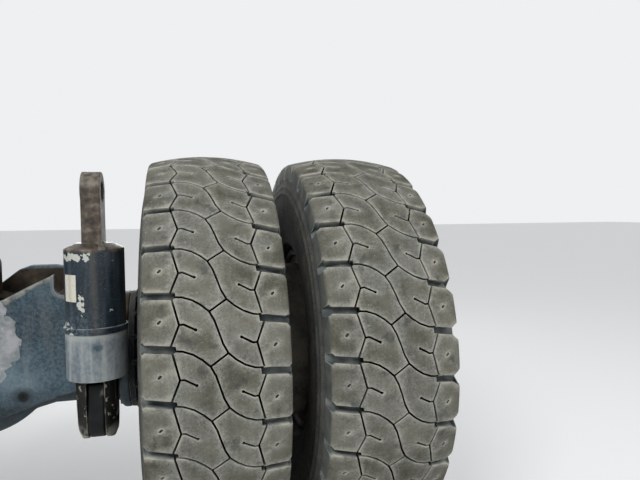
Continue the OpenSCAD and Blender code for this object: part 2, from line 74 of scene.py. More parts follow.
class Finish:
    """A material made of nodes, painted in layers. A method that adds a node gives its output."""

    def __init__(self, name, roughness, metallic=0.0, specular=0.2):
        self.material = bpy.data.materials.new(name)
        self.material.use_nodes = True
        self.nodes = self.material.node_tree.nodes
        self.links = self.material.node_tree.links
        self.shader = self.nodes["Principled BSDF"]
        self.shader.inputs["Roughness"].default_value = roughness
        self.shader.inputs["Metallic"].default_value = metallic
        self.shader.inputs["Specular IOR Level"].default_value = specular

    def feed(self, socket, source):
        """Links an output to the socket, or sets it to a number or to a given colour."""
        if isinstance(source, bpy.types.NodeSocket):
            self.links.new(source, socket)
        else:
            socket.default_value = linear(*source) if isinstance(source, tuple) else source

    def add(self, kind, *sources):
        node = self.nodes.new("ShaderNode" + kind)
        for slot, source in sources:
            self.feed(node.inputs[slot], source)
        return node

    def paint(self, coat):
        """Sets the whole colour."""
        self.coat = coat
        self.feed(self.shader.inputs["Base Color"], coat)

    def lay(self, tone, *shares):
        """Lays a tone over the colour, by the product of shares from 0 to 1."""
        self.paint(self.blend(self.all_of(*shares), self.coat, tone))

    def rough(self, value, low, high):
        """Roughness from low to high over a value."""
        self.feed(self.shader.inputs["Roughness"], self.steep(value, 0.3, 0.7, low, high))

    def place(self, axis):
        """How far along an axis of the object a point lies, in metres."""
        place = self.add("TexCoord")
        return self.add("SeparateXYZ", (0, place.outputs["Object"])).outputs[axis]

    def facing(self, axis):
        """How much the surface faces along an axis, from -1 to 1."""
        place = self.add("TexCoord")
        return self.add("SeparateXYZ", (0, place.outputs["Normal"])).outputs[axis]

    def carried(self, layer):
        """What the mesh carries in a layer of its own."""
        node = self.add("Attribute")
        node.attribute_name = layer
        return node.outputs

    def noise(self, scale, detail, stretch=(1, 1, 1)):
        """Noise on the object's own place, drawn out along an axis where stretch is small."""
        place = self.add("TexCoord")
        mapping = self.add("Mapping", ("Vector", place.outputs["Object"]))
        mapping.inputs["Scale"].default_value = stretch
        node = self.add("TexNoise", ("Vector", mapping.outputs[0]), ("Scale", scale), ("Detail", detail))
        return node.outputs[0]

    def ramp(self, value, *stops):
        """Colours over a value: each stop is its place from 0 to 1 and a colour."""
        node = self.add("ValToRGB", ("Fac", value))
        for i, (place, colour) in enumerate(stops):
            stop = node.color_ramp.elements[i] if i < 2 else node.color_ramp.elements.new(place)
            stop.position = place
            stop.color = linear(*colour)
        return node.outputs["Color"]

    def steep(self, value, low, high, start=0.0, end=1.0):
        """A value that goes from start at low to end at high."""
        return self.add("MapRange", ("Value", value), (1, low), (2, high), (3, start), (4, end)).outputs[0]

    def math(self, how, first, second=0.0):
        node = self.add("Math", (0, first), (1, second))
        node.operation = how
        return node.outputs[0]

    def sum_of(self, first, *others):
        for other in others:
            first = self.math("ADD", first, other)
        return first

    def all_of(self, first, *others):
        """The product of shares."""
        for other in others:
            first = self.math("MULTIPLY", first, other)
        return first

    def within(self, value, low, high, soft):
        """1 between low and high, and 0 outside, with soft ends."""
        return self.all_of(self.steep(value, low - soft, low + soft),
                           self.steep(value, high + soft, high - soft))

    def beyond(self, axes, centre, half=(1, 1)):
        """How far off a centre a point lies in the plane of two axes, as a square: 1 on the oval
        with those half widths, or metres squared without them."""
        shares = []
        for axis, middle, reach in zip(axes, centre, half):
            share = self.math("DIVIDE", self.math("SUBTRACT", self.place(axis), middle), reach)
            shares.append(self.all_of(share, share))
        return self.sum_of(*shares)

    def blend(self, share, first, second):
        """Two colours mixed by a share of the second."""
        node = self.add("Mix")
        node.data_type = "RGBA"
        for slot, source in ((0, share), (6, first), (7, second)):
            self.feed(node.inputs[slot], source)
        return node.outputs[2]

    def bumps(self, *layers):
        """Relief in layers, each with its height from 0 to 1, its strength and its depth in metres."""
        normal = None
        for height, strength, depth in layers:
            node = self.add("Bump", ("Height", height), ("Strength", strength), ("Distance", depth))
            if normal:
                self.links.new(normal, node.inputs["Normal"])
            normal = node.outputs[0]
        self.links.new(normal, self.shader.inputs["Normal"])


camera_data = bpy.data.cameras.new("camera")
camera_data.sensor_width = 36
camera_data.lens = 30.396
camera = bpy.data.objects.new("camera", camera_data)
bpy.context.scene.collection.objects.link(camera)
viewpoint = Matrix.Translation((1.0271, -4.6728, 0.9535))
for degrees, axis in ((-14.166, "Z"), (90 - 3.030, "X"), (-0.475, "Z")):
    viewpoint = viewpoint @ Matrix.Rotation(radians(degrees), 4, axis)
camera.matrix_world = viewpoint
bpy.context.scene.camera = camera
bpy.context.scene.view_settings.view_transform = "Standard"

sheet = Finish("pale_floor", 0.9)
sheet.paint((222, 222, 220))
rays = sheet.add("LightPath").outputs
seen = sheet.math("MAXIMUM", rays["Is Camera Ray"], rays["Is Glossy Ray"])
sheet.shader.inputs["Emission Color"].default_value = linear(235, 236, 238)
sheet.feed(sheet.shader.inputs["Emission Strength"], sheet.all_of(seen, 0.3))

bm = bmesh.new()
bmesh.ops.create_grid(bm, x_segments=1, y_segments=1, size=60)
bmesh.ops.translate(bm, verts=bm.verts, vec=(0, 0, cad_low.z))
floor_mesh = bpy.data.meshes.new("floor")
bm.to_mesh(floor_mesh)
bm.free()
floor_mesh.materials.append(sheet.material)
floor = bpy.data.objects.new("floor", floor_mesh)
bpy.context.scene.collection.objects.link(floor)
floor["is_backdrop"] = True

# The sky lights the object from all sides, and what is seen of it directly is a plain backdrop.
world = bpy.data.worlds.new("soft_sky")
bpy.context.scene.world = world
world.use_nodes = True
tree = world.node_tree
sky = tree.nodes["Background"]
sky.inputs["Color"].default_value = (0.93, 0.96, 1.0, 1)
sky.inputs["Strength"].default_value = 0.5
backdrop = tree.nodes.new("ShaderNodeBackground")
backdrop.inputs["Color"].default_value = linear(238, 240, 242)
rays = tree.nodes.new("ShaderNodeLightPath").outputs
direct = rays["Is Camera Ray"]
for kind in ("Is Glossy Ray", "Is Transmission Ray"):
    either = tree.nodes.new("ShaderNodeMath")
    either.operation = "MAXIMUM"
    tree.links.new(direct, either.inputs[0])
    tree.links.new(rays[kind], either.inputs[1])
    direct = either.outputs[0]
choice = tree.nodes.new("ShaderNodeMixShader")
for i, source in enumerate((direct, sky.outputs[0], backdrop.outputs[0])):
    tree.links.new(source, choice.inputs[i])
tree.links.new(choice.outputs[0], tree.nodes["World Output"].inputs["Surface"])

for name, place, aim, size, power in (
        ("key_light", (-2.5, -7.5, 6.0), (1.0, -2.2, 0.3), 3.0, 430),
        ("fill_light", (6.5, -6.0, 3.5), (1.2, -2.0, 0.2), 4.0, 100),
        ("front_light", (0.0, 5.5, 1.4), (0.0, -1.2, 0.2), 3.0, 130)):
    lamp = bpy.data.lights.new(name, "AREA")
    lamp.size = size
    lamp.energy = power
    light = bpy.data.objects.new(name, lamp)
    bpy.context.scene.collection.objects.link(light)
    light.location = place
    light.rotation_euler = (Vector(aim) - Vector(place)).to_track_quat("-Z", "Y").to_euler()
    light.visible_camera = False


# The axle housing, a steel casting in blue-grey paint. Its edges are cast round, dust lies on its
# walls' tops and in streaks down its sides, and the trough between the walls is full of oily dirt.
sides = ((1, "right"), (-1, "left"))
axle_y, axle_z = frame["joints"][0]["pos_m"][1:]
wall_back_y = axle_y - 0.418
wall_t = 0.036
# Where the patch of painted sunlight lies on the rear wall, and its half widths.
sunlit_patch_centre = (0.13, 0.365)
sunlit_patch_half = (0.145, 0.2)
recess_x, recess_z = 0.282, 0.097

# The rear wall's ridge: how far from the middle, and how high it is there.
ridge = ((0, 0.529), (0.202, 0.5525), (0.43, 0.67))


def soften(node, width, segments):
    """A copy of a CAD node's mesh whose sharp edges are rounded off. The rounded faces carry 1 in
    the layer edge."""
    bm = bmesh.new()
    bm.from_mesh(frame["nodes"][node].data)
    bmesh.ops.remove_doubles(bm, verts=bm.verts, dist=0.0001)
    bmesh.ops.dissolve_limit(bm, angle_limit=radians(0.8), verts=bm.verts, edges=bm.edges)
    edge = bm.loops.layers.float_color.new("edge")
    if width:
        sharp = [e for e in bm.edges if len(e.link_faces) == 2 and e.calc_face_angle() > radians(30)]
        rounded = bmesh.ops.bevel(bm, geom=sharp, offset=width, offset_type="OFFSET", segments=segments,
                                  profile=0.5, affect="EDGES", clamp_overlap=False, material=-1)
        for share, faces in ((0, bm.faces), (1, rounded["faces"])):
            for face in faces:
                for loop in face.loops:
                    loop[edge] = (share, share, share, share)
    return bm


def add_piece(bm, name, body, slot, finish):
    """Makes a piece of a bmesh, lets it ride on a body and gives it its finish."""
    mesh = bpy.data.meshes.new(name)
    bm.to_mesh(mesh)
    bm.free()
    mesh.materials.append(finish.material)
    for polygon in mesh.polygons:
        polygon.material_index = 0
        polygon.use_smooth = True
    mesh.set_sharp_from_angle(angle=radians(38))
    piece = bpy.data.objects.new(name, mesh)
    bpy.context.scene.collection.objects.link(piece)
    weighted = piece.modifiers.new("flat_faces", "WEIGHTED_NORMAL")
    weighted.keep_sharp = True
    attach(piece, body)
    return piece


def dress(node, width, name, body, slot, finish, segments=2):
    """Puts a softened copy of a CAD node, with its finish, in that node's place."""
    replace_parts(add_piece(soften(node, width, segments), name, body, slot, finish), node)


def weathered(name, tones, dust, edge, roughness, metallic=0.0, specular=0.2, streak=0.35, settled=0.6,
              grain=130, depth=0.0015):
    """Paint or steel out of doors: three tones in clouds, dust in streaks, in specks and on the
    upper faces, and worn edges. Grain is the relief's scale and depth its height in metres."""
    finish = Finish(name, roughness, metallic, specular)
    clouds = finish.noise(3.5, 6)
    finish.paint(finish.ramp(clouds, *zip((0.34, 0.5, 0.66), tones)))
    finish.lay(finish.ramp(finish.noise(62, 5), (0.38, tones[0]), (0.62, tones[2])), 0.3)
    finish.lay(dust, finish.steep(finish.noise(7, 5, (4, 4, 0.45)), 0.48, 0.68), streak)
    finish.lay(dust, finish.steep(finish.noise(170, 2), 0.64, 0.69), 0.55)
    finish.lay(edge, finish.carried("edge")["Fac"], finish.steep(finish.noise(24, 4), 0.40, 0.56))
    top = finish.steep(finish.facing("Z"), 0.3, 0.95)
    finish.lay(dust, top, finish.steep(finish.noise(9, 6), 0.25, 0.55), settled)
    finish.rough(clouds, roughness - 0.12, min(1, roughness + 0.1))
    finish.bumps((finish.noise(grain, 3), 0.4, depth), (finish.noise(17, 4), 0.3, 4 * depth))
    return finish


casting = weathered("casting_paint", ((40, 54, 64), (71, 89, 100), (108, 125, 134)), (142, 147, 145),
                    (104, 116, 122), 0.72, streak=0.16, settled=0.75)
x, y, z = (casting.place(axis) for axis in "XYZ")
frayed = casting.noise(14, 4)
behind = casting.steep(y, wall_back_y + 0.006, wall_back_y + 0.003)
# Darker low down: oil, and painted shade on the underside.
casting.lay((38, 44, 48), casting.steep(z, 0.16, 0.02), 0.65)

# A dusty band under the rear wall's ridge, and the dusty lip that stands proud of that wall.
off_middle = casting.math("ABSOLUTE", x)
ridge_z = casting.math("MAXIMUM", *(casting.steep(off_middle, near, far, low, high)
                                    for (near, low), (far, high) in zip(ridge, ridge[1:])))
below_ridge = casting.sum_of(casting.math("SUBTRACT", ridge_z, z),
                             casting.steep(frayed, 0.3, 0.7, -0.012, 0.012))
band_dust = casting.ramp(casting.noise(38, 5), (0.36, (98, 100, 94)), (0.6, (152, 149, 139)))
casting.lay(band_dust, behind, casting.steep(below_ridge, 0.03, 0.018), 0.75)
lip = casting.steep(y, wall_back_y - 0.001, wall_back_y - 0.003)
casting.lay((142, 146, 146), lip, casting.steep(z, 0.4, 0.42), 0.6)

# A big pale patch behind, which is painted sunlight, and the dirt in the trough.
reach = casting.sum_of(casting.beyond("XZ", sunlit_patch_centre, sunlit_patch_half),
                       casting.steep(casting.noise(17, 4), 0.3, 0.7, -0.35, 0.35))
mottled = casting.sum_of(casting.all_of(frayed, 0.6), casting.all_of(casting.noise(45, 5), 0.4))
painted_sunlight = casting.ramp(mottled, (0.38, (124, 130, 131)), (0.6, (172, 171, 174)))
casting.lay(painted_sunlight, behind, casting.steep(reach, 1.03, 0.98), 0.85)
trough = casting.within(y, wall_back_y + wall_t + 0.005, axle_y - wall_t + 0.0005, 0.002)
casting.lay(casting.ramp(frayed, (0.35, (34, 29, 25)), (0.7, (78, 68, 56))),
            trough, casting.steep(z, 0.36, 0.4), casting.steep(z, 0.668, 0.66))

# Oil round the plug recess, and the lugs that carry the cylinders darkened near black, with pale flecks.
stain = casting.beyond("XZ", (recess_x, recess_z + 0.003), (0.058, 0.042))
casting.lay((36, 43, 47), behind, casting.steep(stain, 1.2, 0.1, 0, 0.75))
dark_lug_tone = casting.ramp(frayed, (0.4, (12, 14, 15)), (0.62, (26, 29, 30)), (0.72, (96, 98, 94)))
casting.lay(dark_lug_tone, casting.steep(y, axle_y - 0.5, axle_y - 0.53), casting.steep(z, 0.3, 0.24))
dress("axle_housing", 0.011, "housing_casting", "axle", "housing_paint", casting, segments=3)

# The trough's front wall climbs sooner than the rear one, and carries a rib of its own for that.
rib_outline = ((0.03, 0.31), (0.06, 0.365), (0.185, 0.462), (0.24, 0.482), (0.36, 0.482), (0.43, 0.468),
               (0.43, 0.36), (0.2, 0.24), (0.03, 0.22))
rib_back_y = axle_y - wall_t - 0.002
rib_t = wall_t + 0.005
for side, hand in sides:
    bm = bmesh.new()
    outline = [bm.verts.new((side * x, rib_back_y, axle_z + z)) for x, z in rib_outline]
    grown = bmesh.ops.extrude_face_region(bm, geom=[bm.faces.new(outline)])["geom"]
    bmesh.ops.translate(bm, verts=[g for g in grown if isinstance(g, bmesh.types.BMVert)], vec=(0, rib_t, 0))
    bmesh.ops.recalc_face_normals(bm, faces=bm.faces)
    bmesh.ops.bevel(bm, geom=bm.edges[:], offset=0.009, offset_type="OFFSET", segments=3, profile=0.5,
                    affect="EDGES", clamp_overlap=False, material=-1)
    add_piece(bm, f"{hand}_front_wall", "axle", "housing_paint", casting)


# The fasteners, of zinc-plated steel gone dull and dusty: hexagon heads on washers round the end
# flanges and the carrier, and the housing's plugs and breather.
flange_t = 0.04
flange_face_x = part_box("axle_housing")[1].x - flange_t
flange_bolt_r = 0.292
carrier_face_y = axle_y + 0.416
carrier_bolt_r = 0.323
steel = weathered("dull_steel", ((66, 64, 60), (92, 89, 84), (122, 118, 110)), (140, 134, 120),
                  (166, 162, 154), 0.5, metallic=0.55, streak=0.3, settled=0.5, grain=260, depth=0.0005)


def stood(centre, axis):
    """A place at the centre, with its Z along the axis."""
    return Matrix.Translation(centre) @ Vector(axis).to_track_quat("Z", "Y").to_matrix().to_4x4()


def on_circle(centre, axis, radius, count, first=0.5):
    """Places on a circle round an axis, each with its Z along the axis."""
    for i in range(count):
        spoke = Matrix.Rotation((first + i) * tau / count, 4, "Z") @ Matrix.Translation((radius, 0, 0))
        yield stood(centre, axis) @ spoke @ Matrix.Rotation(1.3 * i, 4, "Z")


def add_prism(bm, place, rise, corners, radius, top, height):
    """A prism or a cone's stump with that many corners, which starts at a rise above its place."""
    middle = place @ Matrix.Translation((0, 0, rise + height / 2))
    bmesh.ops.create_cone(bm, cap_ends=True, segments=corners, radius1=radius, radius2=top, depth=height,
                          matrix=middle)


def add_bolt(bm, place, across):
    """A hexagon head on its washer, standing on the place's Z axis."""
    washer_r, washer_t, head_t, chamfer = 0.62 * across, 0.14 * across, 0.52 * across, 0.1 * across
    corner_r = across / 2 / cos(pi / 6)
    add_prism(bm, place, 0, 16, washer_r, washer_r, washer_t)
    add_prism(bm, place, washer_t, 6, corner_r, corner_r, head_t)
    add_prism(bm, place, washer_t + head_t, 6, corner_r, 0.84 * corner_r, chamfer)


bm = bmesh.new()
for side in (-1, 1):
    for place in on_circle((side * flange_face_x, axle_y, axle_z), (-side, 0, 0), flange_bolt_r, 20):
        add_bolt(bm, place, 0.026)
for place in on_circle((0, carrier_face_y, axle_z), (0, 1, 0), carrier_bolt_r, 24):
    add_bolt(bm, place, 0.022)
level_plug = stood((0, axle_y - 0.449, axle_z - 0.02), (0, -1, 0))
add_bolt(bm, level_plug, 0.05)
drain_plug = stood((-0.12, axle_y, axle_z - 0.346), (0, 0, -1))
add_bolt(bm, drain_plug, 0.045)
breather = Matrix.Translation((-0.2, axle_y + 0.06, axle_z + 0.3))
for radius, top, rise, height in ((0.022, 0.022, 0, 0.04), (0.034, 0.034, 0.03, 0.03),
                                  (0.034, 0.02, 0.06, 0.012)):
    add_prism(bm, breather, rise, 20, radius, top, height)
add_piece(bm, "housing_bolts", "axle", "bare_steel", steel)

# The plug recess behind, darkest in its middle. Its rings are radii and heights over the wall.
recess_floor_r = 0.013
recess_rings = ((0.0155, 0.0025), (0.02, 0.002), (0.025, 0.0), (0.025, -0.003))
dark_recess_finish = Finish("dark_plug_recess", 0.6)
away = dark_recess_finish.math("POWER", dark_recess_finish.beyond("XZ", (recess_x, recess_z)), 0.5)
away = dark_recess_finish.sum_of(away, dark_recess_finish.steep(dark_recess_finish.noise(70, 4), 0.3, 0.7, -0.005, 0.005))
dark_recess_finish.paint(dark_recess_finish.ramp(dark_recess_finish.steep(away, 0, 0.026), (0.35, (12, 13, 14)), (0.6, (26, 30, 32)),
                     (0.95, (42, 50, 54))))
bm = bmesh.new()
place = stood((recess_x, wall_back_y - 0.001, recess_z), (0, -1, 0))
circle = bmesh.ops.create_circle(bm, cap_ends=False, segments=32, radius=recess_floor_r, matrix=place)
rim = bm.edges[:]
for radius, rise in recess_rings:
    grown = bmesh.ops.extrude_edge_only(bm, edges=rim)["geom"]
    rim = [g for g in grown if isinstance(g, bmesh.types.BMEdge)]
    for vert in (g for g in grown if isinstance(g, bmesh.types.BMVert)):
        flat = place.inverted() @ vert.co
        vert.co = place @ Vector((flat.x * radius / flat.xy.length, flat.y * radius / flat.xy.length, rise))
bmesh.ops.contextual_create(bm, geom=circle["verts"])
bmesh.ops.contextual_create(bm, geom=rim)
bmesh.ops.recalc_face_normals(bm, faces=bm.faces)
add_piece(bm, "plug_recess", "axle", "housing_paint", dark_recess_finish)


# The differential's carrier, a ribbed casting bolted to the ball, with the machined flange of the
# drive shaft in front of it.
dress("differential_carrier", 0.006, "carrier_casting", "axle", "housing_paint", casting)
machined = weathered("machined_steel", ((84, 82, 78), (108, 106, 101), (134, 131, 124)), (130, 124, 110),
                     (160, 157, 150), 0.42, metallic=0.8, streak=0.25, settled=0.5, grain=300, depth=0.0004)
dress("input_flange", 0.002, "drive_flange", "axle", "bare_steel", machined)


# The brake housings and spindles. Each housing is bolted between the axle's end flange and the turning hub,
# in the same paint painted near black as painted shade for the shadow it lies in, with brake dust.
shaded_brake_paint = weathered("shaded_brake_paint", ((17, 20, 22), (28, 32, 34), (46, 50, 52)), (92, 91, 85),
                        (84, 86, 84), 0.74, streak=0.2, settled=0.6)
for _, hand in sides:
    dress(f"{hand}_brake_housing", 0.004, f"{hand}_brake_casting", "axle", "housing_paint", shaded_brake_paint)
    dress(f"{hand}_spindle", 0.003, f"{hand}_stub_axle", "axle", "bare_steel", machined)


# The A-frame and the lateral rod, of welded plate and forged steel in dark grey paint, greasy
# round their pins and dusty on top.
dark_paint = weathered("dark_grey_paint", ((34, 35, 36), (48, 49, 49), (66, 66, 63)), (126, 119, 104),
                       (120, 112, 100), 0.66, streak=0.3, settled=0.8)
for node, width in (("a_frame_nose", 0.006), ("right_a_frame_arm", 0.004), ("left_a_frame_arm", 0.004),
                    ("lateral_rod", 0.004)):
    dress(node, width, f"{node}_steel", "axle", "frame_paint", dark_paint)
dress("lateral_rod_pin", 0.003, "rod_pin", "axle", "bare_steel", steel)


# The suspension cylinders. Each has a tube in blue-black paint that flakes below its rim and a
# rusty top, a pale dusty sleeve, and a forged fork, dark with grease, round the housing's lug.
tube_low, tube_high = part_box("right_strut_tube")
strut_x, strut_y = ((tube_low + tube_high) / 2).xy
tube_r = 0.125
rim_z = 0.8
plate_low, plate_high = 0.579, 0.694
tube_paint = weathered("blue_black_paint", ((12, 22, 30), (24, 36, 46), (42, 54, 63)), (100, 106, 108),
                       (136, 138, 134), 0.45, specular=0.35, streak=0.28, settled=0.5, grain=190,
                       depth=0.0006)

# A brown stripe down the middle of the tube, and pale blue specks low on its left side: dust, and painted sky
# light.
x, z = (tube_paint.place(axis) for axis in "XZ")
ragged = tube_paint.noise(30, 5)
tube_paint.lay((84, 76, 68), tube_paint.within(x, 0.648, 0.668, 0.008), 0.4)
tube_paint.lay((98, 116, 128), tube_paint.steep(z, 0.58, 0.46), tube_paint.steep(x, 0.72, 0.6),
               tube_paint.steep(tube_paint.noise(80, 5), 0.42, 0.62), 0.55)

# The paint flakes off below the rim, below the plate and at the sleeve's joint, and what lies above
# the rim is rusty.
likely = tube_paint.sum_of(
    tube_paint.all_of(tube_paint.within(z, rim_z - 0.048, rim_z - 0.012, 0.008),
                      tube_paint.steep(x, 0.69, 0.62), 0.26),
    tube_paint.all_of(tube_paint.steep(z, 0.49, 0.462), tube_paint.steep(x, 0.62, 0.57), 0.22),
    tube_paint.all_of(tube_paint.within(z, 0.53, 0.61, 0.02), tube_paint.within(x, 0.585, 0.622, 0.01), 0.3))
flaked = tube_paint.steep(tube_paint.sum_of(ragged, likely), 0.715, 0.727)
tube_paint.lay((184, 186, 178), flaked, tube_paint.steep(z, rim_z + 0.005, rim_z))
above = tube_paint.steep(tube_paint.sum_of(z, tube_paint.all_of(ragged, 0.02)), rim_z - 0.003, rim_z + 0.001)
tube_paint.lay(tube_paint.ramp(ragged, (0.35, (48, 42, 37)), (0.52, (78, 69, 60)), (0.66, (110, 102, 91))),
               above)

sleeve_paint = weathered("pale_sleeve_paint", ((98, 108, 115), (130, 138, 141), (158, 162, 162)),
                         (172, 176, 175), (180, 183, 182), 0.7, streak=0.6, settled=0.4)

# Bluish wet runs, a dark oily spot behind and a dry dusty top.
x, z = (sleeve_paint.place(axis) for axis in "XZ")
runs = sleeve_paint.steep(sleeve_paint.noise(8, 5, (4, 4, 0.7)), 0.48, 0.66)
sleeve_paint.lay((64, 84, 104), runs, sleeve_paint.steep(sleeve_paint.noise(7, 3), 0.42, 0.6, 0.1, 0.6))
spot = sleeve_paint.all_of(sleeve_paint.within(z, 0.365, 0.41, 0.02),
                           sleeve_paint.within(x, 0.63, 0.68, 0.03))
spot = sleeve_paint.sum_of(spot, sleeve_paint.all_of(sleeve_paint.noise(26, 5), 2.2))
sleeve_paint.lay((62, 80, 90), sleeve_paint.steep(spot, 1.6, 2.2, 0, 0.9))
dry = sleeve_paint.sum_of(sleeve_paint.steep(z, 0.40, 0.435), sleeve_paint.noise(24, 4))
sleeve_paint.lay((166, 170, 166), sleeve_paint.steep(dry, 0.6, 1.3, 0, 0.75))

fork_paint = weathered("greasy_forging", ((9, 10, 10), (16, 17, 17), (30, 29, 27)), (84, 80, 73),
                       (112, 104, 90), 0.5, streak=0.14, settled=0.3)

# Grey mud on the fork's tip and caked round its middle.
z = fork_paint.place("Z")
fork_paint.lay((146, 142, 134), fork_paint.steep(z, 0.035, -0.01),
               fork_paint.steep(fork_paint.noise(26, 4), 0.35, 0.5), 0.85)
muddy = fork_paint.all_of(fork_paint.within(z, 0.10, 0.21, 0.03), 0.07)
caked = fork_paint.steep(fork_paint.sum_of(fork_paint.noise(34, 5), muddy), 0.65, 0.67)
fork_paint.lay((150, 150, 143), caked, 0.85)

for _, hand in sides:
    for part, width, slot, finish in (("tube", 0.004, "cylinder_paint", tube_paint),
                                      ("sleeve", 0.0025, "sleeve_paint", sleeve_paint),
                                      ("fork", 0.005, "frame_paint", fork_paint)):
        dress(f"{hand}_strut_{part}", width, f"{hand}_cylinder_{part}", "axle", slot, finish)
    dress(f"{hand}_lower_pin", 0.002, f"{hand}_fork_pin", "axle", "bare_steel", steel)

# The pressed ring over the joint of each tube with its sleeve.
ring_outline = ((0.1284, 0.4365), (0.1316, 0.4375), (0.1335, 0.441), (0.1335, 0.4575), (0.1318, 0.4618),
                (0.1284, 0.463))
for side, hand in sides:
    bm = bmesh.new()
    spots = [bm.verts.new((r, 0, z)) for r, z in ring_outline]
    edges = [bm.edges.new(pair) for pair in zip(spots, spots[1:] + spots[:1])]
    bmesh.ops.spin(bm, geom=spots + edges, cent=(0, 0, 0), axis=(0, 0, 1), angle=tau, steps=96,
                   use_merge=True)
    bmesh.ops.recalc_face_normals(bm, faces=bm.faces)
    bmesh.ops.translate(bm, verts=bm.verts, vec=(side * strut_x, strut_y, 0))
    add_piece(bm, f"{hand}_joint_ring", "axle", "cylinder_paint", tube_paint)

# The blank cream plate on the right tube, bent round it.
cream = weathered("cream_plate", ((188, 184, 168), (206, 202, 188), (218, 215, 204)), (150, 144, 128),
                  (140, 132, 116), 0.6, streak=0.4, settled=0.3)
bm = bmesh.new()
plate_r = tube_r + 0.0006
turns = [radians(-119 - 2.75 * i) for i in range(13)]
bends = [(strut_x + plate_r * cos(a), strut_y + plate_r * sin(a)) for a in turns]
low_row, high_row = ([bm.verts.new((x, y, z)) for x, y in bends] for z in (plate_low, plate_high))
for corners in zip(low_row, low_row[1:], high_row[1:], high_row):
    bm.faces.new(corners)
bmesh.ops.recalc_face_normals(bm, faces=bm.faces)
bmesh.ops.solidify(bm, geom=bm.faces[:], thickness=0.0012)
bmesh.ops.recalc_face_normals(bm, faces=bm.faces)
add_piece(bm, "right_blank_plate", "axle", "sleeve_paint", cream)

# The charging valve on each tube's shoulder.
for side, hand in sides:
    bm = bmesh.new()
    valve = Matrix.Translation((side * (strut_x + 0.044), strut_y - 0.098, rim_z - 0.003))
    for corners, radius, top, rise, height in ((24, 0.024, 0.022, 0, 0.012), (6, 0.015, 0.015, 0.01, 0.016),
                                               (16, 0.009, 0.009, 0.024, 0.014)):
        add_prism(bm, valve, rise, corners, radius, top, height)
    add_piece(bm, f"{hand}_charging_valve", "axle", "bare_steel", steel)


# The cast hubs and final drive covers and the rolled steel rims and bands, in grey paint under clay
# dust. Wedge clamps on studs with nuts hold the rims, and bolts hold the covers.
hub_face_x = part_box("right_hub")[1].x
cover_flange_x = hub_face_x + 0.026
cover_bolt_r = 0.333
clamp_face_x = hub_face_x + 0.034
clamp_bolt_r = 0.39
stud_r = 0.011
stud_len = 0.042
cap_x = hub_face_x + 0.064
cap_plug_r = 0.211
wheel_paint = weathered("dusty_wheel_paint", ((70, 71, 68), (92, 91, 86), (118, 115, 106)), (144, 137, 122),
                        (104, 84, 66), 0.76, streak=0.0, settled=0.0)
wheel_paint.lay((146, 139, 124), wheel_paint.steep(wheel_paint.noise(6, 6), 0.44, 0.66), 0.6)
wheel_paint.lay((98, 68, 48), wheel_paint.steep(wheel_paint.noise(33, 5), 0.62, 0.7), 0.7)
for side, hand in sides:
    body = f"{hand}_twin_wheel"
    for part, width, name, slot, finish in (
            ("hub", 0.004, "hub_casting", "wheel_paint", wheel_paint),
            ("final_drive_cover", 0.003, "drive_cover", "wheel_paint", wheel_paint),
            ("inner_rim", 0, "inner_rim_steel", "wheel_paint", wheel_paint),
            ("outer_rim", 0, "outer_rim_steel", "wheel_paint", wheel_paint),
            ("spacer_band", 0.002, "band_steel", "wheel_paint", wheel_paint),
            ("rim_clamps", 0.003, "wedge_clamps", "bare_steel", steel)):
        dress(f"{hand}_{part}", width, f"{hand}_{name}", body, slot, finish)
    bm = bmesh.new()
    out = (side, 0, 0)
    for place in on_circle((side * cover_flange_x, axle_y, axle_z), out, cover_bolt_r, 24, 0.25):
        add_bolt(bm, place, 0.024)
    for place in on_circle((side * clamp_face_x, axle_y, axle_z), out, clamp_bolt_r, 12, 0):
        add_bolt(bm, place, 0.036)
        add_prism(bm, place, 0, 12, stud_r, stud_r, stud_len)
    for place in on_circle((side * cap_x, axle_y, axle_z), out, cap_plug_r, 2, 0.25):
        add_bolt(bm, place, 0.026)
    add_piece(bm, f"{hand}_wheel_bolts", body, "bare_steel", steel)


# Four worn radial tyres of black rubber under dust, moulded with a block tread and seated on the
# rims, 1064 mm in radius and 655 mm wide. One pitch of the tread is drawn flat, its slits are
# widened and sunk with the grooves, and it is wrapped round the tyre 31 times.
tread_r = 1.064
crown_curve = 1.108
lugs = 31
pitch_angle = tau / lugs

# Flat sizes are in mm: u runs across the tyre and v down the back of it.
pitch = pitch_angle * tread_r * 1000
tread_mid = 43
curve_mid = 38
shoulder = 295
groove_start, groove_end = -149, -113
open_from_u = 165
slit_half = 4.4
slit_depth = 26
hole_u, hole_v, hole_r = -89, 23.5, 7
dimple_u, dimple_v = 228, -15
dimple_depth = 9
worn_edge = 1.9
rim_band = 3.2
flank_start = shoulder + 4
flank_blend = 14
inside_reach = 26
rows_per_pitch = 12
first_row = -61


def crown(t):
    """Radius of the worn tread at the distance t from the tyre's middle, in metres."""
    return tread_r - crown_curve + sqrt(crown_curve**2 - t * t)


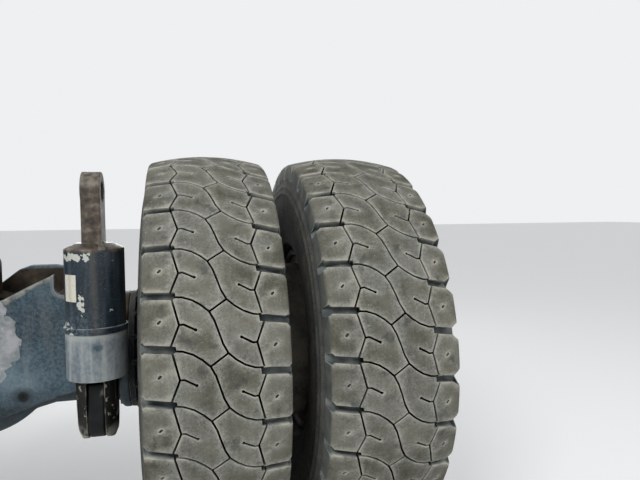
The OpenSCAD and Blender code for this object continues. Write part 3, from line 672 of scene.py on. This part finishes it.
# The profile of half a tyre, from the tread's middle over the shoulder and down the sidewall, with
# its moulded rings, to the bead, and back inside. Each row is the way along it and the point.
side_arc = 0.533
side_mid_r = 0.770
side_off = side_arc - 0.3275
skin = [(1000 * t, (t, crown(t))) for t in (0, 0.035, 0.07, 0.105, 0.14, 0.175, 0.21, 0.245, 0.27, 0.283)]
bend = [(0.290, 1.0225), (0.2945, 1.018), (0.2975, 1.011), (0.299, 1.002), (0.302, 0.975), (0.3067, 0.944)]
rings = ((0.936, 0.004), (0.925, 0), (0.905, 0), (0.900, 0.003), (0.893, 0.003), (0.888, 0), (0.868, 0),
         (0.864, 0.003), (0.857, 0.003), (0.853, 0), (0.81, 0), (0.77, 0), (0.73, 0), (0.69, 0), (0.65, 0),
         (0.61, 0), (0.58, 0), (0.574, 0.003), (0.566, 0.003), (0.56, 0))
bend += [(sqrt(side_arc**2 - (r - side_mid_r) ** 2) - side_off + proud, r) for r, proud in rings]
bend += [(0.2265, 0.5365), (0.2165, 0.531), (0.2165, 0.45), (0.212, 0.4447), (0.160, 0.4447),
         (0.160, 0.52), (0.29, 0.72), (0.26, 0.92), (0, 0.969)]
for point in bend:
    step = (Vector(point) - Vector(skin[-1][1])).length
    skin.append((skin[-1][0] + 1000 * step, point))
side_line = skin[15][0]
end_line = skin[-1][0]
groove_floor = [(0, (0, crown(0) - 0.026)), (120, (0.120, crown(0.12) - 0.026)), (163, (0.163, 1.014)),
                (203, (0.201, 1.009)), (250, (0.246, 0.984)), (shoulder, (0.286, 0.963)),
                (345, (0.2995, 0.950)), (side_line, bend[5])]


def along(rows, way):
    """The point at that way along an outline."""
    for (a, p), (b, q) in zip(rows, rows[1:]):
        if way <= b:
            break
    return Vector(p).lerp(Vector(q), (way - a) / (b - a))


# Half of the long curved slit, from a left groove's inner end to the tread's middle, and the
# other half turned round that middle.
s_curve = [(-163, -113), (-140, -111), (-100, -96), (-65, -73), (-35, -46), (-15, -8), (0, curve_mid)]
s_curve += [(-u, 2 * curve_mid - v) for u, v in s_curve[-2::-1]]
block_face, groove_face, side_face, edge_face = range(4)


def draw_shoulder(bm, spots, side, k, cut_off):
    """Draws what lies on one side of the tread in pitch k: a lug with its outer corners worn off, a
    groove and two halves of a centre block. The right side is the left one turned round. Returns
    its slits as pairs of points."""
    def spot(u, v):
        key = (round(u, 1), round(v, 1))
        if key not in spots:
            spots[key] = bm.verts.new((u, v, 0))
        return spots[key]

    def at(u, v, later=0):
        return spot(side * u, (v if side > 0 else 2 * tread_mid - v) + (k + side * later) * pitch)

    def on_curve(i, later=0):
        u, v = s_curve[i if side > 0 else -1 - i]
        return spot(u, v + (k + side * later) * pitch)

    def face(kind, corners):
        bm.faces.new(corners).material_index = kind

    start, low, vee, elbow = on_curve(0), at(-178, -102), at(-152, 0), at(-135, -1)
    high, corner = at(-184, -134, 1), at(-166, -131, 1)
    turns = [radians(206 + 60 * i) for i in range(6)]
    hole = [at(hole_u + hole_r * cos(a), hole_v + hole_r * sin(a)) for a in turns]
    # The dimple is a long hexagon turned by 45 degrees.
    dimple = [at(-dimple_u + 0.7 * (a + b), dimple_v + 0.7 * (b - a))
              for a, b in ((-11, 0), (-6, -5), (6, -5), (11, 0), (6, 5), (-6, 5))]
    inner = shoulder - 1.4 * cut_off
    face(groove_face, [at(-side_line, groove_start), at(-shoulder, groove_start + 2 - cut_off),
                       at(-inner, groove_start + 5), at(-184, -134), at(-166, -131), start, low,
                       at(-inner, groove_end), at(-shoulder, groove_end + cut_off),
                       at(-side_line, groove_end)])
    face(groove_face, hole)
    face(groove_face, dimple)
    face(block_face, [at(-side_line, groove_end), at(-shoulder, groove_end + cut_off), at(-inner, groove_end),
                      low, vee] + [dimple[i] for i in (3, 2, 1, 0)])
    face(block_face, [vee, high, at(-inner, groove_start + 5, 1),
                      at(-shoulder, groove_start + 2 - cut_off, 1), at(-side_line, groove_start, 1),
                      at(-side_line, groove_end)] + [dimple[i] for i in (0, 5, 4, 3)])
    face(block_face, [on_curve(i) for i in range(7)] + [hole[i] for i in (3, 2, 1, 0)] + [elbow, vee, low])
    face(block_face, [on_curve(i) for i in (6, 7, 8)] + [on_curve(i, 1) for i in (4, 3, 2, 1, 0)]
         + [corner, high, vee, elbow] + [hole[i] for i in (0, 5, 4, 3)])
    face(side_face, [at(-end_line, groove_start), at(-side_line, groove_start), at(-side_line, groove_end),
                     at(-side_line, groove_start, 1), at(-end_line, groove_start, 1)])
    slits = [(low, vee), (vee, high), (vee, elbow), (elbow, hole[0])]
    slits += [(on_curve(i), on_curve(i + 1)) for i in range(6)]
    if side > 0:
        slits.append((on_curve(8), on_curve(4, 1)))
    return slits


def draw_pitches(bm, worn_left, worn_right):
    """Draws several pitches flat, so that the cuts at both ends of the middle one match. Returns
    the edges of their slits."""
    spots, slits = {}, []
    for k in range(-2, 3):
        slits += draw_shoulder(bm, spots, 1, k, worn_left)
        slits += draw_shoulder(bm, spots, -1, k, worn_right)
    bmesh.ops.recalc_face_normals(bm, faces=bm.faces)
    for face in bm.faces:
        if face.normal.z < 0:
            face.normal_flip()
    edges = [bm.edges.get(pair) for pair in slits]
    return [e for e in edges if e]


def sink_grooves(bm, slits):
    """Widens the slits, gives each block a rim, sinks slits, holes and grooves, and wears the
    blocks' brinks round."""
    cut = bmesh.ops.bevel(bm, geom=slits, offset=slit_half, offset_type="OFFSET", segments=1, profile=0.5,
                          affect="EDGES", material=-1)
    for face in cut["faces"]:
        face.material_index = groove_face
    blocks = [f for f in bm.faces if f.material_index == block_face]
    bmesh.ops.inset_region(bm, faces=blocks, thickness=rim_band, use_even_offset=True, use_boundary=True)
    sunk = [f for f in bm.faces if f.material_index == groove_face]
    grown = bmesh.ops.extrude_face_region(bm, geom=sunk)["geom"]
    bmesh.ops.delete(bm, geom=sunk, context="FACES")
    for vert in (v for v in grown if isinstance(v, bmesh.types.BMVert)):
        vert.co.z = -dimple_depth if abs(abs(vert.co.x) - dimple_u) < 20 else -slit_depth
    brinks = [e for e in bm.edges if all(v.co.z > -0.01 for v in e.verts)
              and sorted(round(abs(f.normal.z)) for f in e.link_faces) == [0, 1]]
    worn = bmesh.ops.bevel(bm, geom=brinks, offset=worn_edge, offset_type="OFFSET", segments=2, profile=0.5,
                           affect="EDGES", material=-1)
    for face in worn["faces"]:
        face.material_index = edge_face


def all_in(bm):
    return bm.verts[:] + bm.edges[:] + bm.faces[:]


def put_in_order(bm):
    """Sorts points, edges and faces by place, so that the tyre comes out the same in each run."""
    for i, vert in enumerate(sorted(bm.verts, key=lambda v: tuple(v.co))):
        vert.index = i
    bm.verts.sort()
    for parts in (bm.edges, bm.faces):
        for i, part in enumerate(sorted(parts, key=lambda p: sorted(v.index for v in p.verts))):
            part.index = i
        parts.sort()


def cut_rows(bm):
    """Cuts the flat pitch at the profile's points and in rows round the tyre, so that it can bend,
    and drops what lies past its two ends."""
    for way, _ in skin[1:-1]:
        for u in (-way, way):
            bmesh.ops.bisect_plane(bm, geom=all_in(bm), dist=0.05, plane_co=(u, 0, 0), plane_no=(1, 0, 0))
    rows = [first_row + i * pitch / rows_per_pitch for i in range(rows_per_pitch + 1)]
    for row in rows:
        bmesh.ops.bisect_plane(bm, geom=all_in(bm), dist=0.02, plane_co=(0, row, 0), plane_no=(0, 1, 0),
                               clear_inner=row == rows[0], clear_outer=row == rows[-1])
    spare = [v for v in bm.verts
             if abs(v.co.x) > end_line - 0.01 and min(abs(v.co.y - row) for row in rows) > 0.05]
    bmesh.ops.dissolve_verts(bm, verts=spare)
    put_in_order(bm)


def mark_wear(bm):
    """Each point carries its height in the groove, the scuffed brinks, the open grooves and the
    sidewall in the layer wear, and how far inside its block it lies in the layer inside."""
    wear = bm.verts.layers.float_color.new("wear")
    inside = bm.verts.layers.float.new("inside")
    for vert in bm.verts:
        across = abs(vert.co.x)
        rise = max(0, 1 + vert.co.z / slit_depth)
        brink = any(f.material_index == edge_face for f in vert.link_faces)
        opened = min(1, max(0, (across - open_from_u) / 20))
        vert[wear] = (rise, brink, opened, min(1, max(0, (across - flank_start) / flank_blend)))
    brims = [v for v in bm.verts if v[wear][1] or v[wear][0] < 1]
    tree = kdtree.KDTree(len(brims))
    for i, vert in enumerate(brims):
        tree.insert(vert.co, i)
    tree.balance()
    for vert in bm.verts:
        vert[inside] = min(1, tree.find(vert.co)[2] / inside_reach)


def wrap_round(bm):
    """Bends the flat pitch to the tyre's profile and repeats it round the X axis."""
    wear = bm.verts.layers.float_color["wear"]
    for vert in bm.verts:
        u, v, _ = vert.co
        across, rise = abs(u), vert[wear][0]
        t, r = along(skin, across)
        if across < side_line and rise < 1:
            t, r = along(groove_floor, across).lerp(Vector((t, r)), rise)
        angle = v / pitch * pitch_angle
        vert.co = (t if u > 0 else -t, -r * cos(angle), -r * sin(angle))
    bmesh.ops.spin(bm, geom=all_in(bm), cent=(0, 0, 0), axis=(1, 0, 0), angle=tau - pitch_angle,
                   steps=lugs - 1, use_duplicate=True)
    bmesh.ops.remove_doubles(bm, verts=bm.verts, dist=0.0002)
    # The cuts leave a loose edge and a folded sliver in each pitch.
    bmesh.ops.delete(bm, geom=[e for e in bm.edges if e.is_wire], context="EDGES")
    slivers = [f for f in bm.faces if any(e.is_boundary for e in f.edges)]
    bmesh.ops.delete(bm, geom=slivers, context="FACES")
    bmesh.ops.recalc_face_normals(bm, faces=bm.faces)
    put_in_order(bm)


def mould_tyre(name, worn_left, worn_right):
    """The mesh of a tyre round the X axis, whose lugs' corners are worn off by those lengths on
    the left and on the right."""
    bm = bmesh.new()
    sink_grooves(bm, draw_pitches(bm, worn_left, worn_right))
    cut_rows(bm)
    mark_wear(bm)
    wrap_round(bm)
    mesh = bpy.data.meshes.new(name)
    bm.to_mesh(mesh)
    bm.free()
    for polygon in mesh.polygons:
        polygon.material_index = 0
        polygon.use_smooth = True
    mesh.set_sharp_from_angle(angle=radians(40))
    return mesh


# Rubber under dry clay dust: grey-brown blocks with streaks along the way they roll and scrapes across it,
# paler scuffed brinks, groove walls in blue-grey painted sky light, slits painted black as painted shade, and
# darker sidewalls.
rubber = Finish("dusty_rubber", 0.88, specular=0.15)
wear = rubber.carried("wear")
rise, brink, opened = rubber.add("SeparateColor", (0, wear["Color"])).outputs[:3]
inward = rubber.carried("inside")["Fac"]
clouds = rubber.noise(5, 5)
grain = rubber.noise(90, 4)
smudges = rubber.noise(13, 5)
uneven = rubber.steep(rubber.noise(19, 4), 0.4, 0.62, 0.15, 1)
rubber.paint(rubber.ramp(clouds, (0.35, (87, 85, 74)), (0.46, (108, 107, 96)), (0.56, (123, 125, 118)),
                         (0.67, (145, 146, 138))))
rubber.lay(rubber.ramp(smudges, (0.4, (88, 98, 105)), (0.6, (122, 129, 131))),
           rubber.steep(rubber.noise(4.3, 4), 0.44, 0.6, 0, 0.6))
for pattern, share, dark, pale in (
        (rubber.noise(7, 4, (7, 1, 1)), 0.3, (0.36, (80, 81, 76)), (0.68, (152, 151, 141))),
        (grain, 0.34, (0.35, (62, 64, 62)), (0.65, (168, 166, 154))),
        (rubber.noise(230, 3), 0.24, (0.38, (58, 60, 58)), (0.62, (176, 174, 162)))):
    rubber.lay(rubber.ramp(pattern, dark, pale), share)
rubber.lay((84, 84, 77), rubber.steep(rubber.noise(46, 4, (0.22, 1, 1)), 0.55, 0.66), 0.3)

# Each block is browner in its middle, and paler in an uneven band along its rim and its gutter.
rubber.lay(rubber.ramp(clouds, (0.36, (74, 72, 61)), (0.62, (105, 103, 92))),
           rubber.steep(inward, 0.15, 1), rubber.steep(smudges, 0.34, 0.62, 0.5, 0.85))
rubber.lay((158, 157, 147), rubber.steep(inward, 0.02, 0.42, 0.6, 0), uneven)
rubber.lay((166, 162, 148), rubber.steep(inward, 0.03, 0.75, 0.55, 0), opened, uneven)
rubber.lay((58, 60, 60), rubber.steep(rubber.noise(16, 5), 0.6, 0.7), 0.55)
rubber.lay((176, 173, 161), rubber.steep(rubber.noise(110, 3), 0.66, 0.7), 0.35)

# The sidewalls are darker, and paler on a ring below the shoulder: dust, and painted sky light.
flank = rubber.ramp(clouds, (0.35, (44, 46, 47)), (0.7, (76, 75, 71)))
flank = rubber.blend(0.35, flank, rubber.ramp(smudges, (0.35, (36, 38, 39)), (0.7, (104, 101, 93))))
flank = rubber.blend(0.3, flank, rubber.ramp(grain, (0.35, (38, 39, 39)), (0.65, (112, 109, 101))))
off_axle = rubber.math("POWER", rubber.beyond("YZ", (axle_y, axle_z)), 0.5)
flank = rubber.blend(rubber.steep(off_axle, 0.85, 0.97, 0, 0.65), flank,
                     rubber.ramp(smudges, (0.35, (82, 87, 87)), (0.65, (112, 114, 109))))
rubber.lay(flank, wear["Alpha"])
rubber.lay((180, 177, 164), brink, uneven, 0.8)
# Inside the grooves: the open grooves in blue-grey, which is painted sky light, and the narrow slits black,
# which is painted shade.
gutter = rubber.ramp(smudges, (0.35, (80, 87, 90)), (0.65, (126, 130, 127)))
rubber.lay(rubber.blend(opened, (11, 11, 12), gutter), rubber.steep(rise, 0.55, 0.95, 1, 0))
rubber.bumps((grain, 0.35, 0.002), (rubber.noise(320, 2), 0.25, 0.001))

# The left tyres are turned end for end, so that the most worn corners are outside on both.
end_for_end = (Matrix.Rotation((2 * tread_mid / pitch + 0.5) * pitch_angle, 4, "X")
               @ Matrix.Rotation(pi, 4, "Z"))
for name, turn, worn_in, worn_out in (("inner", -63.79, 7, 9), ("outer", -70.09, 9, 25)):
    tyre_mesh = mould_tyre(name, worn_in, worn_out)
    tyre_mesh.materials.append(rubber.material)
    for side, hand in sides:
        low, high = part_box(f"{hand}_{name}_tyre")
        mesh = tyre_mesh.copy()
        if side < 0:
            mesh.transform(end_for_end)
        centre = Matrix.Translation(((low.x + high.x) / 2, axle_y, axle_z))
        mesh.transform(centre @ Matrix.Rotation(radians(turn), 4, "X"))
        tyre = bpy.data.objects.new(f"{hand}_{name}_tread", mesh)
        bpy.context.scene.collection.objects.link(tyre)
        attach(tyre, f"{hand}_twin_wheel")
        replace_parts(tyre, f"{hand}_{name}_tyre")

shown_low, shown_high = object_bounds()
for corner in (cad_low, cad_high, shown_low, shown_high):
    json.dumps([round(c, 4) for c in corner]) + "\n"
